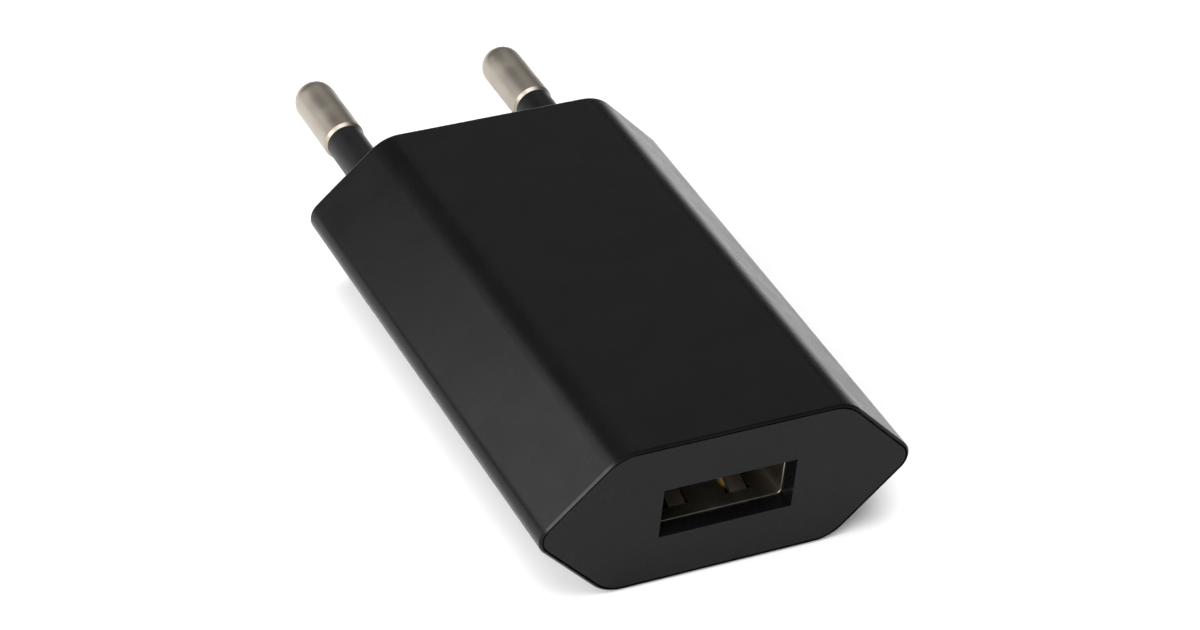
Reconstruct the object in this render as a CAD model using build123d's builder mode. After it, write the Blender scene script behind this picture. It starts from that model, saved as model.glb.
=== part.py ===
"""Slim USB wall charger with two round mains pins, built as its separate pieces.

Millimetres. The charger lies on its flat bottom face, +Z up. The USB socket faces -Y, the mains
pins point along +Y and X runs across. The origin is under the middle of the overall box.
"""

import os
from math import cos, hypot, radians, sin

from build123d import *

os.makedirs("parts", exist_ok=True)

# ---- Casing ----
body_length = 49.0  # front face to plug end
body_height = 14.8  # bottom flat to top flat
edge_width = 36.6  # across the two side edges, before they are rounded
flat_width = 21.6  # across the top flat and the bottom flat, before rounding
side_radius = 1.8  # rounding of the two side edges
ridge_radius = 3.8  # rounding of the four ridges along the flats
end_radius = 0.4  # rounding round the plug end
wall = 1.6
end_wall = 2.4  # wall that carries the pins
mouth_bevel = 0.18  # bevel round the open end of the shell
rim_width = 0.22  # thin rim of the shell that goes round the cover

# ---- Front cover ----
cover_thickness = 1.6
cover_lip = 0.6  # part of the plate that covers the end of the shell's wall, inside the rim
cover_edge = 0.05  # rounding of the plate's front edge
seam_width = 0.16  # groove between the rim and the cover
skirt_length = 3.0  # ring behind the plate that enters the shell
skirt_wall = 1.0
skirt_gap = 0.05  # skirt to the inside of the shell
snap_width = 8.0
snap_length = 1.2
snap_height = 0.4
snap_gap = 0.1  # snap to its pocket
port_width = 12.6
port_height = 5.0
collar_wall = 1.0  # collar behind the plate that locates the socket
collar_depth = 2.4
collar_gap = 0.1

# ---- Mains pins ----
pin_diameter = 4.0
pin_length = 19.0  # tip to plug end
pin_spacing = 19.4
sleeve_diameter = 3.6
sleeve_length = 10.0  # visible length of the insulating sleeve
sleeve_root = 1.2  # length of the sleeve inside the end wall
waist_diameter = 2.8
shoulder_bevel = 0.3  # length of the bevel where the metal meets the sleeve
flange_diameter = 5.2  # locks the pin in its boss
flange_length = 1.2
boss_diameter = 8.0
boss_length = 2.6
stub_diameter = 2.4
stub_length = 3.2

# ---- USB socket ----
usb_inner_width = 12.4
usb_inner_height = 4.84
usb_sheet = 0.3
usb_corner = 0.5
usb_setback = 0.2  # plate's back face to the socket's mouth
usb_lip = 0.08  # rounding of the sheet's inner edge at the mouth
usb_length = 12.0
finger_width = 1.6
finger_spacing = 5.9
finger_slit = 0.4
finger_start = 1.45  # root of the retention finger behind the mouth
finger_ramp = 2.0
finger_curl = 1.1
finger_rise = 0.85
block_start = 9.5  # front of the insulating block behind the mouth
block_overhang = 0.4  # block beyond the shell's rear edge
block_gap = 0.05
tongue_start = 1.4
tongue_width = 11.1
tongue_thickness = 1.84
tongue_roof_gap = 0.5  # tongue to the shell's top wall
contact_width = 1.0
contact_thickness = 0.3
contact_proud = 0.05
contact_tip = 0.9  # tongue's front edge to the contact's end
contact_places = {"vbus": -3.5, "data_minus": -1.0, "data_plus": 1.0, "ground": 3.5}
shell_leg_width = 1.2
shell_leg_places = (4.5, 10.4)  # behind the mouth

# ---- Circuit board ----
board_thickness = 1.2
board_side_gap = 0.56  # board to the sloping side wall, before the width is rounded
board_gap = 0.3  # board to the skirt and to the pin bosses
socket_seat = 0.04  # board to the socket's bottom
hole_gap = 0.15  # lead to the wall of its hole
lead_diameter = 0.6
solder_radius = 0.8
rest_gap = 0.5  # ribs under the board's long edges, to the leaf contacts' solder joints
rest_inset = 0.1
rail_leaf_gap = 0.1  # rails over the board's long edges, to the leaf contacts
rail_height = 1.0
rail_gap = 0.1
slot_width = 1.2  # isolation slot
slot_length = 11.0

# ---- Mains leaf contacts ----
leaf_width = 2.0
leaf_thickness = 0.3
leaf_length = 4.2
leaf_mouth = 0.7  # opening between the ends of the leaf
leaf_end_gap = 0.3  # leaf to the rear edge of the board
leaf_tab_width = 0.8
leaf_tab_inset = 0.6  # tab towards the middle of the board

# ---- Transformer ----
core_width = 10.2
core_depth = 10.6
core_web = 1.2  # outer legs and back
core_centre_leg = 2.4
core_gap = 0.1  # core to bobbin
bobbin_wall = 0.6
flange_wall = 0.7
flange_gap = 0.1  # bobbin flange to the core's outer leg
rail_depth = 2.0  # pin rail of the bobbin, beyond the core
bobbin_rail_height = 1.6
primary_build = 0.7
secondary_build = 0.45
tape_thickness = 0.2
transformer_lift = 0.2  # bobbin above the board
transformer_pin_pitch = 2.5
transformer_pin_count = 4  # in each row
transformer_x = 2.7
transformer_y = -10.6

# ---- Electrolytic capacitors, lying on the board ----
can_wall_lift = 0.1  # can above the board
bung_length = 1.2
bung_inset = 0.35  # bung smaller than the can
can_rim = 0.4
can_groove = 0.35
lead_bend = 0.5
lead_out = 0.8  # bung to the lead's vertical stretch
input_can_length = 10.8
input_can_pitch = 3.5
input_can_x = -6.9
input_can_front = -5.8
output_can_diameter = 6.3
output_can_length = 8.6
output_can_pitch = 2.5
output_can_x = -6.5
output_can_front = -17.2

# ---- Other parts on the board's top ----
fuse_diameter = 3.2
fuse_length = 8.4
fuse_reach = 6.0  # middle to each vertical lead
fuse_y = 7.4
fuse_lift = 0.2
choke_diameter = 5.0
choke_height = 6.0
choke_flange = 0.8
choke_core_diameter = 2.4
choke_wire_build = 0.9
choke_lift = 0.2
choke_pitch = 2.5
choke_x = 8.0
choke_y = 2.0
bridge_width = 4.0
bridge_depth = 4.6
bridge_height = 2.3
bridge_lift = 0.1
bridge_reach = 3.1
bridge_x = 2.3
bridge_y = 2.7
diode_width = 2.5
diode_length = 4.2
diode_height = 2.0
diode_x = 9.5
diode_y = -10.0
disc_diameter = 6.5
disc_thickness = 2.2
disc_lift = 0.8
disc_pitch = 5.0
disc_x = 4.2
disc_y = -1.9

# ---- Parts on the board's underside ----
chip_width = 3.9
chip_length = 4.9
chip_reach = 3.0
chip_x = -1.0
chip_y = 2.0
chip_leg_pitch = 1.27
leg_thickness = 0.2
small_length = 2.0
small_width = 1.25
primary_resistors = ((4.6, 4.6), (4.6, 2.2), (-6.2, 1.2), (-6.2, 3.4), (-8.4, -2.2))
secondary_resistors = ((-3.2, -12.4), (0.2, -13.6))
capacitor_places = ((-8.8, 2.4), (3.6, -13.6), (8.8, -5.6))

# ---- Derived levels ----
front = -(body_length + pin_length) / 2
rear = front + body_length
tip = rear + pin_length
middle = body_height / 2
mouth = front + cover_lip
half_rise = body_height / 2
half_run = (edge_width - flat_width) / 2
slant = hypot(half_rise, half_run)
skirt_end = front + cover_thickness + skirt_length
usb_front = front + cover_thickness + usb_setback
usb_rear = usb_front + usb_length
usb_width = usb_inner_width + 2 * usb_sheet
usb_height = usb_inner_height + 2 * usb_sheet
usb_floor = middle - usb_inner_height / 2
board_top = middle - usb_height / 2 - socket_seat
board_bottom = board_top - board_thickness
board_front = skirt_end + board_gap
boss_end = rear - end_wall - boss_length
board_rear = boss_end - board_gap
stub_end = boss_end - stub_length
tongue_top = middle + usb_inner_height / 2 - tongue_roof_gap
tongue_bottom = tongue_top - tongue_thickness
leaf_rear = board_rear - leaf_end_gap
leaf_top = middle - stub_diameter / 2
rail_inner = (pin_spacing + leaf_width) / 2 + rail_leaf_gap
rib_inner = pin_spacing / 2 - leaf_tab_inset + solder_radius + rest_gap

# ---- Heights that follow the space the casing leaves over the board ----
room_above = body_height - wall - board_top
flange_height = room_above - 0.5
core_height = flange_height - 3.8
tape_height = core_height - 1.0
input_can_diameter = room_above - 0.7
transformer_z = board_top + transformer_lift + flange_height / 2

# ---- Heights that follow the space under the board ----
usual_space = 1.7  # space for which the heights below are given
underside = (board_bottom - wall) / usual_space
lead_below = 1.2 * underside
tab_below = 1.1 * underside
solder_height = 0.8 * underside
chip_height = 1.2 * underside
chip_standoff = 0.15 * underside
resistor_height = 0.5 * underside
capacitor_height = 0.9 * underside


def across(y):
    """Section plane at y: local x is X, local y is height above the middle, it faces the front."""
    return Plane(origin=(0, y, middle), x_dir=(1, 0, 0), z_dir=(0, -1, 0))


def across_from(y, x, z):
    """The same section plane with its centre at x and z."""
    return Plane(origin=(x, y, z), x_dir=(1, 0, 0), z_dir=(0, -1, 0))


def lengthways(x):
    """Side view plane at x: local x is Y and local y is Z."""
    return Plane.YZ.offset(x)


def outline(inset=0.0):
    """Adds the casing's six-sided outline, moved inwards by inset, to the sketch being drawn."""
    half_edge = edge_width / 2 - inset * slant / half_rise
    half_flat = flat_width / 2 - inset * (slant - half_run) / half_rise
    half_height = half_rise - inset
    with BuildLine() as rim:
        Polyline(
            (-half_edge, 0),
            (-half_flat, half_height),
            (half_flat, half_height),
            (half_edge, 0),
            (half_flat, -half_height),
            (-half_flat, -half_height),
            close=True,
        )
    make_face(rim.edges())
    fillet(vertices().filter_by(lambda v: abs(v.Y) > half_height / 2), max(ridge_radius - inset, 0.3))
    fillet(vertices().filter_by(lambda v: abs(v.Y) < 0.01), max(side_radius - inset, 0.3))


def cavity_half_width(z):
    """Half width of the space inside the shell at height z, away from its rounded corners."""
    return edge_width / 2 - wall * slant / half_rise - abs(z - middle) * half_run / half_rise


def box_between(low, high, mode=Mode.ADD):
    """Adds or cuts a box given by its lowest and highest corner."""
    centre = tuple((a + b) / 2 for a, b in zip(low, high))
    with Locations(centre):
        Box(high[0] - low[0], high[1] - low[1], high[2] - low[2], mode=mode)


def bent_wire(points, bend, diameter):
    """Adds one round wire that follows points, with every corner bent to the same radius."""
    with BuildLine() as run:
        FilletPolyline(*points, radius=bend)
    with BuildSketch(Plane(origin=run.line @ 0, z_dir=run.line % 0)) as wire:
        Circle(diameter / 2)
    sweep(wire.sketch, path=run.line)


def save(piece, name):
    """Names the finished piece and writes its file."""
    piece.part.label = name
    export_step(piece.part, f"parts/{name}.step")


# ---- body_shell: tube with a closed plug end ----
pin_places = {"left": -pin_spacing / 2, "right": pin_spacing / 2}
snap_y = front + cover_thickness + skirt_length / 2
board_width = round(2 * (cavity_half_width(board_bottom) - board_side_gap), 1)
rib_outer = board_width / 2 - rest_inset
rail_bottom = board_top + rail_gap
rail_outer = cavity_half_width(rail_bottom) + wall / 2

with BuildPart() as body_shell:
    with BuildSketch(across(rear)):
        outline()
    extrude(amount=rear - front)
    fillet(faces().sort_by(Axis.Y)[-1].edges(), end_radius)
    chamfer(faces().sort_by(Axis.Y)[0].edges(), mouth_bevel)
    with BuildSketch(across(mouth)):
        outline(rim_width)
    extrude(amount=cover_lip, mode=Mode.SUBTRACT)
    with BuildSketch(across(rear - end_wall)):
        outline(wall)
    extrude(amount=body_length, mode=Mode.SUBTRACT)
    with BuildSketch(across(rear - end_wall)):
        with Locations(*[(x, 0) for x in pin_places.values()]):
            Circle(boss_diameter / 2)
    extrude(amount=boss_length)
    for side in (-1, 1):
        rib = sorted((side * rib_inner, side * rib_outer))
        box_between((rib[0], board_front, wall / 2), (rib[1], board_rear, board_bottom))
        rail = sorted((side * rail_inner, side * rail_outer))
        box_between((rail[0], board_front, rail_bottom), (rail[1], board_rear, rail_bottom + rail_height))
    for x in pin_places.values():
        with BuildSketch(across_from(rear, x, middle)):
            Circle(sleeve_diameter / 2)
        extrude(amount=sleeve_root, mode=Mode.SUBTRACT)
        with BuildSketch(across_from(rear - sleeve_root, x, middle)):
            Circle(waist_diameter / 2)
        extrude(amount=end_wall + boss_length - sleeve_root, mode=Mode.SUBTRACT)
        with BuildSketch(across_from(rear - end_wall, x, middle)):
            Circle(flange_diameter / 2)
        extrude(amount=flange_length, mode=Mode.SUBTRACT)
    for side in (-1, 1):
        reach = half_rise - wall + snap_height + snap_gap
        pocket = sorted((middle, middle + side * reach))
        box_between(
            (-snap_width / 2 - snap_gap, snap_y - snap_length / 2 - snap_gap, pocket[0]),
            (snap_width / 2 + snap_gap, snap_y + snap_length / 2 + snap_gap, pocket[1]),
            mode=Mode.SUBTRACT,
        )
save(body_shell, "body_shell")

# ---- front_cover: plate, skirt, snaps and the collar round the socket ----
skirt_inset = wall + skirt_gap
collar_width = usb_width + 2 * collar_gap
collar_height = usb_height + 2 * collar_gap

with BuildPart() as front_cover:
    with BuildSketch(across(mouth)):
        outline(rim_width + seam_width)
    extrude(amount=cover_lip)
    fillet(faces().sort_by(Axis.Y)[0].edges(), cover_edge)
    with BuildSketch(across(skirt_end)):
        outline(skirt_inset)
    extrude(amount=skirt_end - mouth)
    with BuildSketch(across(skirt_end)):
        outline(skirt_inset + skirt_wall)
    extrude(amount=skirt_length, mode=Mode.SUBTRACT)
    collar_rear = front + cover_thickness + collar_depth
    with BuildSketch(across(collar_rear)):
        Rectangle(collar_width + 2 * collar_wall, collar_height + 2 * collar_wall)
        Rectangle(collar_width, collar_height, mode=Mode.SUBTRACT)
    extrude(amount=collar_depth)
    with BuildSketch(across(front + cover_thickness)):
        Rectangle(port_width, port_height)
    extrude(amount=cover_thickness, mode=Mode.SUBTRACT)
    for side in (-1, 1):
        skirt_face = middle + side * (half_rise - skirt_inset)
        with BuildSketch(lengthways(-snap_width / 2)):
            with BuildLine():
                Polyline(
                    (snap_y - snap_length / 2, skirt_face - side * skirt_wall / 2),
                    (snap_y - snap_length / 2, skirt_face + side * snap_height),
                    (snap_y, skirt_face + side * snap_height),
                    (snap_y + snap_length / 2, skirt_face),
                    (snap_y + snap_length / 2, skirt_face - side * skirt_wall / 2),
                    close=True,
                )
            make_face()
        extrude(amount=snap_width)
save(front_cover, "front_cover")

# ---- mains pins, their insulating sleeves and their leaf contacts ----
for side, x in pin_places.items():
    pin_axis = Axis((x, 0, middle), (0, 1, 0))
    turning_plane = Plane(origin=(x, 0, middle), x_dir=(1, 0, 0), z_dir=(0, 0, 1))
    pin_radius = pin_diameter / 2
    round_start = tip - pin_radius
    flange_front = rear - end_wall - flange_length

    with BuildPart() as pin:
        with BuildSketch(turning_plane):
            with BuildLine():
                Polyline(
                    (0, tip),
                    (0, stub_end),
                    (stub_diameter / 2, stub_end),
                    (stub_diameter / 2, boss_end),
                    (waist_diameter / 2, boss_end),
                    (waist_diameter / 2, flange_front),
                    (flange_diameter / 2, flange_front),
                    (flange_diameter / 2, rear - end_wall),
                    (waist_diameter / 2, rear - end_wall),
                    (waist_diameter / 2, rear + sleeve_length),
                    (sleeve_diameter / 2, rear + sleeve_length),
                    (pin_radius, rear + sleeve_length + shoulder_bevel),
                    (pin_radius, round_start),
                )
                ThreePointArc(
                    (pin_radius, round_start),
                    (pin_radius * cos(radians(45)), round_start + pin_radius * sin(radians(45))),
                    (0, tip),
                )
            make_face()
        revolve(axis=pin_axis)
    save(pin, f"pin_{side}")

    with BuildPart() as sleeve:
        with BuildSketch(across_from(rear + sleeve_length, x, middle)):
            Circle(sleeve_diameter / 2)
            Circle(waist_diameter / 2, mode=Mode.SUBTRACT)
        extrude(amount=sleeve_length + sleeve_root)
    save(sleeve, f"pin_sleeve_{side}")

    leaf_middle = (leaf_top + board_top) / 2
    leaf_height = leaf_top - board_top
    tab_x = x - leaf_tab_inset if x > 0 else x + leaf_tab_inset
    tab_y = leaf_rear - leaf_length / 2
    with BuildPart() as contact_spring:
        with BuildSketch(Plane(origin=(x, 0, 0), x_dir=(0, 1, 0), z_dir=(1, 0, 0))):
            with Locations((leaf_rear - leaf_length / 2, leaf_middle)):
                SlotOverall(leaf_length, leaf_height)
                SlotOverall(
                    leaf_length - 2 * leaf_thickness,
                    leaf_height - 2 * leaf_thickness,
                    mode=Mode.SUBTRACT,
                )
            with Locations((leaf_rear, leaf_middle)):
                Rectangle(leaf_length / 2, leaf_mouth, mode=Mode.SUBTRACT)
        extrude(amount=leaf_width / 2, both=True)
        box_between(
            (tab_x - leaf_tab_width / 2, tab_y - leaf_thickness / 2, board_bottom - tab_below),
            (tab_x + leaf_tab_width / 2, tab_y + leaf_thickness / 2, board_top + leaf_thickness / 2),
        )
    save(contact_spring, f"contact_spring_{side}")

# ---- USB socket ----
leg_bottom = board_bottom - tab_below
finger_root = usb_front + finger_start
finger_top = finger_root + finger_ramp
finger_tip = finger_top + finger_curl

with BuildPart() as usb_shell:
    with BuildSketch(across(usb_rear)):
        RectangleRounded(usb_width, usb_height, usb_corner)
        RectangleRounded(usb_inner_width, usb_inner_height, usb_corner - usb_sheet / 2, mode=Mode.SUBTRACT)
    extrude(amount=usb_length)
    mouth_edges = faces().sort_by(Axis.Y)[0].inner_wires()[0].edges()
    fillet(mouth_edges, usb_lip)
    for x in (-finger_spacing / 2, finger_spacing / 2):
        half_slit = finger_width / 2 + finger_slit
        box_between(
            (x - half_slit, finger_root, usb_floor - 2 * usb_sheet),
            (x + half_slit, finger_tip + finger_slit, usb_floor + usb_sheet),
            mode=Mode.SUBTRACT,
        )
        with BuildSketch(lengthways(x - finger_width / 2)):
            with BuildLine():
                top_side = Polyline(
                    (finger_root - usb_sheet, usb_floor),
                    (finger_root, usb_floor),
                    (finger_top, usb_floor + finger_rise),
                )
                crown = RadiusArc(top_side @ 1, (finger_tip, usb_floor + finger_rise / 3), finger_curl)
                Polyline(
                    crown @ 1,
                    (finger_tip, usb_floor + finger_rise / 3 - usb_sheet),
                    (finger_top, usb_floor + finger_rise - usb_sheet),
                    (finger_root + usb_sheet / 2, usb_floor - usb_sheet),
                    (finger_root - usb_sheet, usb_floor - usb_sheet),
                    (finger_root - usb_sheet, usb_floor),
                )
            make_face()
        extrude(amount=finger_width)
    for x in (-usb_width / 2, usb_width / 2 - usb_sheet):
        for place in shell_leg_places:
            box_between(
                (x, usb_front + place - shell_leg_width / 2, leg_bottom),
                (x + usb_sheet, usb_front + place + shell_leg_width / 2, middle),
            )
save(usb_shell, "usb_shell")

strip_top = tongue_bottom - contact_proud + contact_thickness
strip_bottom = tongue_bottom - contact_proud
strip_front = usb_front + tongue_start + contact_tip
block_rear = usb_rear + block_overhang
tail_rear = block_rear + contact_thickness

with BuildPart() as usb_insulator:
    with BuildSketch(across(block_rear)):
        RectangleRounded(usb_inner_width - 2 * block_gap, usb_inner_height - 2 * block_gap, usb_corner)
    extrude(amount=block_rear - usb_front - block_start)
    box_between(
        (-tongue_width / 2, usb_front + tongue_start, tongue_bottom),
        (tongue_width / 2, usb_front + block_start, tongue_top),
    )
    tongue_nose = faces().filter_by(Axis.Y).sort_by(Axis.Y)[0]
    chamfer(tongue_nose.edges().filter_by(Axis.X), tongue_thickness / 6)
    for x in contact_places.values():
        box_between(
            (x - contact_width / 2, strip_front, strip_bottom),
            (x + contact_width / 2, block_rear + contact_thickness, strip_top),
            mode=Mode.SUBTRACT,
        )
save(usb_insulator, "usb_insulator")

for name, x in contact_places.items():
    with BuildPart() as usb_contact:
        with BuildSketch(lengthways(x - contact_width / 2)):
            with BuildLine():
                Polyline(
                    (strip_front, strip_top),
                    (tail_rear, strip_top),
                    (tail_rear, leg_bottom),
                    (block_rear, leg_bottom),
                    (block_rear, strip_bottom),
                    (strip_front, strip_bottom),
                    close=True,
                )
            make_face()
        extrude(amount=contact_width)
    save(usb_contact, f"usb_contact_{name}")

# ---- transformer: core halves, bobbin, windings, tape and pins ----
window_half = core_depth / 2 - core_web
tube_width = core_centre_leg + 2 * core_gap + 2 * bobbin_wall
tube_height = core_height + 2 * core_gap + 2 * bobbin_wall
bobbin_flange_width = core_width - 2 * core_web - 2 * flange_gap
bobbin_half = window_half - core_gap
coil_half = bobbin_half - flange_wall
row_y = core_depth / 2 + tape_thickness + rail_depth / 2
row_half = (transformer_pin_count - 1) * transformer_pin_pitch / 2
bobbin_rail_top = board_top + transformer_lift + bobbin_rail_height

for name, side in (("front", -1), ("rear", 1)):
    with BuildPart() as core_half:
        with BuildSketch(Plane.XY.offset(transformer_z)):
            low = min(0, side * core_depth / 2)
            with Locations((transformer_x, transformer_y + low + core_depth / 4)):
                Rectangle(core_width, core_depth / 2)
            leg = core_width / 2 - core_web
            window = (leg - core_centre_leg / 2) / 2
            for way in (-1, 1):
                x = transformer_x + way * (core_centre_leg / 2 + window)
                with Locations((x, transformer_y + side * window_half / 2)):
                    Rectangle(2 * window, window_half, mode=Mode.SUBTRACT)
        extrude(amount=core_height / 2, both=True)
    save(core_half, f"transformer_core_{name}")

with BuildPart() as transformer_bobbin:
    with BuildSketch(across_from(transformer_y + bobbin_half, transformer_x, transformer_z)):
        Rectangle(tube_width, tube_height)
    extrude(amount=2 * bobbin_half)
    for y in (transformer_y + bobbin_half, transformer_y - coil_half):
        with BuildSketch(across_from(y, transformer_x, transformer_z)):
            RectangleRounded(bobbin_flange_width, flange_height, flange_wall)
        extrude(amount=flange_wall)
    for side in (-1, 1):
        y = transformer_y + side * row_y
        inner = transformer_y + side * coil_half
        rail = sorted((inner, y + side * rail_depth / 2))
        box_between(
            (transformer_x - core_width / 2, rail[0], board_top + transformer_lift),
            (transformer_x + core_width / 2, rail[1], bobbin_rail_top),
        )
    with BuildSketch(across_from(transformer_y + bobbin_half, transformer_x, transformer_z)):
        Rectangle(core_centre_leg + 2 * core_gap, core_height + 2 * core_gap)
    extrude(amount=2 * bobbin_half, mode=Mode.SUBTRACT)
    for x in range(transformer_pin_count):
        for side in (-1, 1):
            place = transformer_x - row_half + x * transformer_pin_pitch
            with BuildSketch(Plane.XY.offset(board_top + transformer_lift)):
                with Locations((place, transformer_y + side * row_y)):
                    Circle(lead_diameter / 2)
            extrude(amount=bobbin_rail_height, mode=Mode.SUBTRACT)
save(transformer_bobbin, "transformer_bobbin")


def winding(name, inner, build):
    """One winding between the bobbin's flanges, as a closed ring of wound wire."""
    with BuildPart() as coil:
        with BuildSketch(across_from(transformer_y + coil_half, transformer_x, transformer_z)):
            outer = inner + build
            RectangleRounded(tube_width + 2 * outer, tube_height + 2 * outer, outer * 0.9)
            if inner:
                inner_size = (tube_width + 2 * inner, tube_height + 2 * inner)
                RectangleRounded(*inner_size, inner * 0.9, mode=Mode.SUBTRACT)
            else:
                Rectangle(tube_width, tube_height, mode=Mode.SUBTRACT)
        extrude(amount=2 * coil_half)
    save(coil, name)


winding("primary_winding", 0, primary_build)
winding("secondary_winding", primary_build, secondary_build)

with BuildPart() as core_tape:
    with BuildSketch(Plane.XY.offset(transformer_z)):
        with Locations((transformer_x, transformer_y)):
            Rectangle(core_width + 2 * tape_thickness, core_depth + 2 * tape_thickness)
            Rectangle(core_width, core_depth, mode=Mode.SUBTRACT)
    extrude(amount=tape_height / 2, both=True)
save(core_tape, "core_tape")

transformer_spots = [
    (transformer_x - row_half + i * transformer_pin_pitch, transformer_y + side * row_y)
    for i in range(transformer_pin_count)
    for side in (-1, 1)
]
with BuildPart() as transformer_pins:
    with BuildSketch(Plane.XY.offset(board_bottom - lead_below)):
        with Locations(*transformer_spots):
            Circle(lead_diameter / 2)
    extrude(amount=bobbin_rail_top - board_bottom + lead_below)
save(transformer_pins, "transformer_pins")


def lying_capacitor(name, x, y_front, diameter, length, pitch):
    """A capacitor can on its side, its rubber bung to the front, two leads bent down into the board."""
    z = board_top + can_wall_lift + diameter / 2
    bung_radius = diameter / 2 - bung_inset
    bung_rear = y_front + bung_length
    with BuildPart() as can:
        with BuildSketch(across_from(y_front + length, x, z)):
            Circle(diameter / 2)
        extrude(amount=length)
        with BuildSketch(across_from(y_front + (bung_length + can_groove) / 2, x, z)):
            Circle(diameter)
            Circle(diameter / 2 - bung_inset / 2, mode=Mode.SUBTRACT)
        extrude(amount=can_groove, mode=Mode.SUBTRACT)
        fillet(faces().sort_by(Axis.Y)[-1].edges(), can_rim)
        with BuildSketch(across_from(bung_rear, x, z)):
            Circle(bung_radius)
        extrude(amount=bung_length, mode=Mode.SUBTRACT)
    save(can, f"{name}_can")
    with BuildPart() as bung:
        with BuildSketch(across_from(bung_rear, x, z)):
            Circle(bung_radius)
            with Locations((-pitch / 2, 0), (pitch / 2, 0)):
                Circle(lead_diameter / 2, mode=Mode.SUBTRACT)
        extrude(amount=bung_length)
    save(bung, f"{name}_bung")
    drop_y = y_front - lead_out
    with BuildPart() as leads:
        for lead_x in (x - pitch / 2, x + pitch / 2):
            start = (lead_x, bung_rear, z)
            corner = (lead_x, drop_y, z)
            end = (lead_x, drop_y, board_bottom - lead_below)
            bent_wire([start, corner, end], lead_bend, lead_diameter)
    save(leads, f"{name}_leads")
    return [(x - pitch / 2, drop_y), (x + pitch / 2, drop_y)]


input_spots = lying_capacitor(
    "input_capacitor", input_can_x, input_can_front, input_can_diameter, input_can_length, input_can_pitch
)
output_spots = lying_capacitor(
    "output_capacitor",
    output_can_x,
    output_can_front,
    output_can_diameter,
    output_can_length,
    output_can_pitch,
)

# ---- fusible resistor across the mains end ----
fuse_z = board_top + fuse_lift + fuse_diameter / 2
fuse_spots = [(-fuse_reach, fuse_y), (fuse_reach, fuse_y)]
with BuildPart() as fusible_resistor:
    with BuildSketch(lengthways(-fuse_length / 2)):
        with Locations((fuse_y, fuse_z)):
            Circle(fuse_diameter / 2)
    extrude(amount=fuse_length)
    fillet(edges().filter_by(GeomType.CIRCLE), fuse_diameter / 5)
save(fusible_resistor, "fusible_resistor")

with BuildPart() as fusible_resistor_leads:
    for side in (-1, 1):
        start = (side * fuse_length / 2, fuse_y, fuse_z)
        corner = (side * fuse_reach, fuse_y, fuse_z)
        end = (side * fuse_reach, fuse_y, board_bottom - lead_below)
        bent_wire([start, corner, end], lead_bend, lead_diameter)
save(fusible_resistor_leads, "fusible_resistor_leads")

# ---- choke: drum core, winding and two leads ----
choke_base = board_top + choke_lift
choke_spots = [(choke_x - choke_pitch / 2, choke_y), (choke_x + choke_pitch / 2, choke_y)]
with BuildPart() as choke_core:
    with BuildSketch(Plane.XY.offset(choke_base)):
        with Locations((choke_x, choke_y)):
            Circle(choke_core_diameter / 2)
    extrude(amount=choke_height)
    for z in (choke_base, choke_base + choke_height - choke_flange):
        with BuildSketch(Plane.XY.offset(z)):
            with Locations((choke_x, choke_y)):
                Circle(choke_diameter / 2)
        extrude(amount=choke_flange)
save(choke_core, "choke_core")

with BuildPart() as choke_winding:
    with BuildSketch(Plane.XY.offset(choke_base + choke_flange)):
        with Locations((choke_x, choke_y)):
            Circle(choke_core_diameter / 2 + choke_wire_build)
            Circle(choke_core_diameter / 2, mode=Mode.SUBTRACT)
    extrude(amount=choke_height - 2 * choke_flange)
save(choke_winding, "choke_winding")

with BuildPart() as choke_leads:
    with BuildSketch(Plane.XY.offset(board_bottom - lead_below)):
        with Locations(*choke_spots):
            Circle(lead_diameter / 2)
    extrude(amount=choke_base - board_bottom + lead_below)
save(choke_leads, "choke_leads")

# ---- bridge rectifier with four gull-wing legs ----
with BuildPart() as bridge_rectifier:
    box_between(
        (bridge_x - bridge_width / 2, bridge_y - bridge_depth / 2, board_top + bridge_lift),
        (bridge_x + bridge_width / 2, bridge_y + bridge_depth / 2, board_top + bridge_lift + bridge_height),
    )
    chamfer(edges().group_by(Axis.Z)[-1], bridge_height / 8)
save(bridge_rectifier, "bridge_rectifier")


def gull_wing(near, far, upper, lower):
    """Outline of a bent leg: near and far are along the reach, upper and lower are heights."""
    way = 1 if far > near else -1
    down = 1 if upper > lower else -1
    step = near + way * leg_thickness * 2
    with BuildLine() as leg:
        Polyline(
            (near, upper),
            (step + way * leg_thickness, upper),
            (step + way * leg_thickness, lower + down * leg_thickness),
            (far, lower + down * leg_thickness),
            (far, lower),
            (step, lower),
            (step, upper - down * leg_thickness),
            (near, upper - down * leg_thickness),
            close=True,
        )
    make_face(leg.edges())


with BuildPart() as bridge_rectifier_legs:
    for side in (-1, 1):
        for x in (bridge_x - bridge_width / 4, bridge_x + bridge_width / 4):
            near = bridge_y + side * bridge_depth / 2
            far = bridge_y + side * bridge_reach
            with BuildSketch(lengthways(x)):
                gull_wing(near, far, board_top + bridge_lift + bridge_height / 2, board_top)
            extrude(amount=leg_thickness * 1.5, both=True)
save(bridge_rectifier_legs, "bridge_rectifier_legs")

# ---- output diode with its wrapped end caps ----
with BuildPart() as output_diode:
    box_between(
        (diode_x - diode_width / 2, diode_y - diode_length / 2, board_top + leg_thickness),
        (diode_x + diode_width / 2, diode_y + diode_length / 2, board_top + leg_thickness + diode_height),
    )
    chamfer(edges().group_by(Axis.Z)[-1], diode_height / 8)
save(output_diode, "output_diode")

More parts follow.
